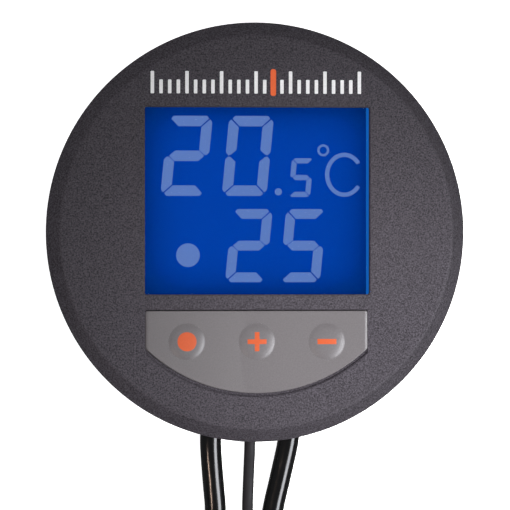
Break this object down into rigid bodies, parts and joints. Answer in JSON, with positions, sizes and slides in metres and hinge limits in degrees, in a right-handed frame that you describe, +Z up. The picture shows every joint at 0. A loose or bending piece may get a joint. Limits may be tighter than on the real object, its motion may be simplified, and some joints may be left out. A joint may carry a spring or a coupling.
{
  "type": "aquarium heater with digital thermostat",
  "caption": "Round digital thermostat with a blue display and dome buttons, its mains lead and plug, sensor lead and probe, and lead to a guarded submersible tube heater.",
  "frame": {"origin": "centre of the lower face of the thermostat's mounting pad, on the surface the set lies on", "axes": "+Z up, out of the display; +Y towards the top of the display; the leads leave towards -Y"},
  "size_m": [0.217, 0.23, 0.0408],
  "materials": {
    "charcoal_cover": "fine-grained moulded plastic",
    "black_cover": "fine-grained moulded plastic",
    "black_nylon": "satin moulded plastic",
    "black_rubber": "soft, matte",
    "pad_foam": "closed-cell foam with an adhesive face",
    "keypad_grey": "satin printed membrane",
    "display_clear": "clear, polished",
    "display_blue": "backlit blue panel",
    "backlight_white": "white light guide",
    "led_blue": "lit blue strip",
    "board_green": "solder mask",
    "component_black": "moulded",
    "component_yellow": "moulded",
    "terminal_green": "moulded",
    "screw_steel": "zinc plated",
    "cable_pvc": "glossy black cable jacket",
    "plug_black": "satin moulded",
    "pin_brass": "nickel-plated brass",
    "probe_steel": "polished stainless",
    "suction_clear": "translucent, soft",
    "tube_glass": "clear quartz tube",
    "element_ceramic": "unglazed"
  },
  "bodies": {
    "set": {"front_cover": "charcoal_cover", "rear_cover": "black_cover", "display_frame": "black_nylon", "heater_cap": "black_nylon", "heater_guard": "black_nylon", "mains_coil_tie": "black_nylon", "sensor_coil_tie": "black_nylon", "heater_coil_tie": "black_nylon", "housing_seal": "black_rubber", "heater_cap_seal": "black_rubber", "mains_strain_relief": "black_rubber", "sensor_strain_relief": "black_rubber", "heater_strain_relief": "black_rubber", "plug_strain_relief": "black_rubber", "heater_cap_strain_relief": "black_rubber", "probe_boot": "black_rubber", "mounting_pad": "pad_foam", "keypad_panel": "keypad_grey", "display_window": "display_clear", "lcd_glass": "display_blue", "backlight_guide": "backlight_white", "backlight_led_bar": "led_blue", "circuit_board": "board_green", "relay": "component_black", "filter_capacitor": "component_black", "controller_chip": "component_black", "switch_power": "component_black", "switch_plus": "component_black", "switch_minus": "component_black", "x_capacitor": "component_yellow", "transformer": "component_yellow", "terminal_block": "terminal_green", "housing_screw_1": "screw_steel", "housing_screw_2": "screw_steel", "housing_screw_3": "screw_steel", "housing_screw_4": "screw_steel", "mains_lead": "cable_pvc", "mains_coil": "cable_pvc", "mains_tail": "cable_pvc", "heater_lead": "cable_pvc", "heater_coil": "cable_pvc", "heater_tail": "cable_pvc", "sensor_lead": "cable_pvc", "sensor_coil": "cable_pvc", "sensor_tail": "cable_pvc", "plug_body": "plug_black", "plug_pin_left": "pin_brass", "plug_pin_right": "pin_brass", "probe_capsule": "probe_steel", "heater_glass_tube": "tube_glass", "heating_element": "element_ceramic"},
    "button_power": {"button_power": "keypad_grey"},
    "button_plus": {"button_plus": "keypad_grey"},
    "button_minus": {"button_minus": "keypad_grey"},
    "heater_clip_1": {"heater_clip_1": "black_nylon", "heater_suction_cup_1": "suction_clear"},
    "heater_clip_2": {"heater_clip_2": "black_nylon", "heater_suction_cup_2": "suction_clear"},
    "probe_clip": {"probe_clip": "black_nylon", "probe_suction_cup": "suction_clear"}
  },
  "joints": [
    {"name": "button_power_press", "type": "slide", "parent": "set", "child": "button_power", "axis": [0, 0, -1], "range_m": [0, 0.0006], "stiffness_N_per_m": 1500},
    {"name": "button_plus_press", "type": "slide", "parent": "set", "child": "button_plus", "axis": [0, 0, -1], "range_m": [0, 0.0006], "stiffness_N_per_m": 1500},
    {"name": "button_minus_press", "type": "slide", "parent": "set", "child": "button_minus", "axis": [0, 0, -1], "range_m": [0, 0.0006], "stiffness_N_per_m": 1500},
    {"name": "heater_clip_1_turn", "type": "hinge", "parent": "set", "child": "heater_clip_1", "pos_m": [0.099, -0.056, 0.0253], "axis": [0, 1, 0], "continuous": true},
    {"name": "heater_clip_2_turn", "type": "hinge", "parent": "set", "child": "heater_clip_2", "pos_m": [0.099, 0.056, 0.0253], "axis": [0, 1, 0], "continuous": true},
    {"name": "probe_clip_slide", "type": "slide", "parent": "set", "child": "probe_clip", "axis": [0, 1, 0], "range_m": [-0.003, 0.008]}
  ]
}
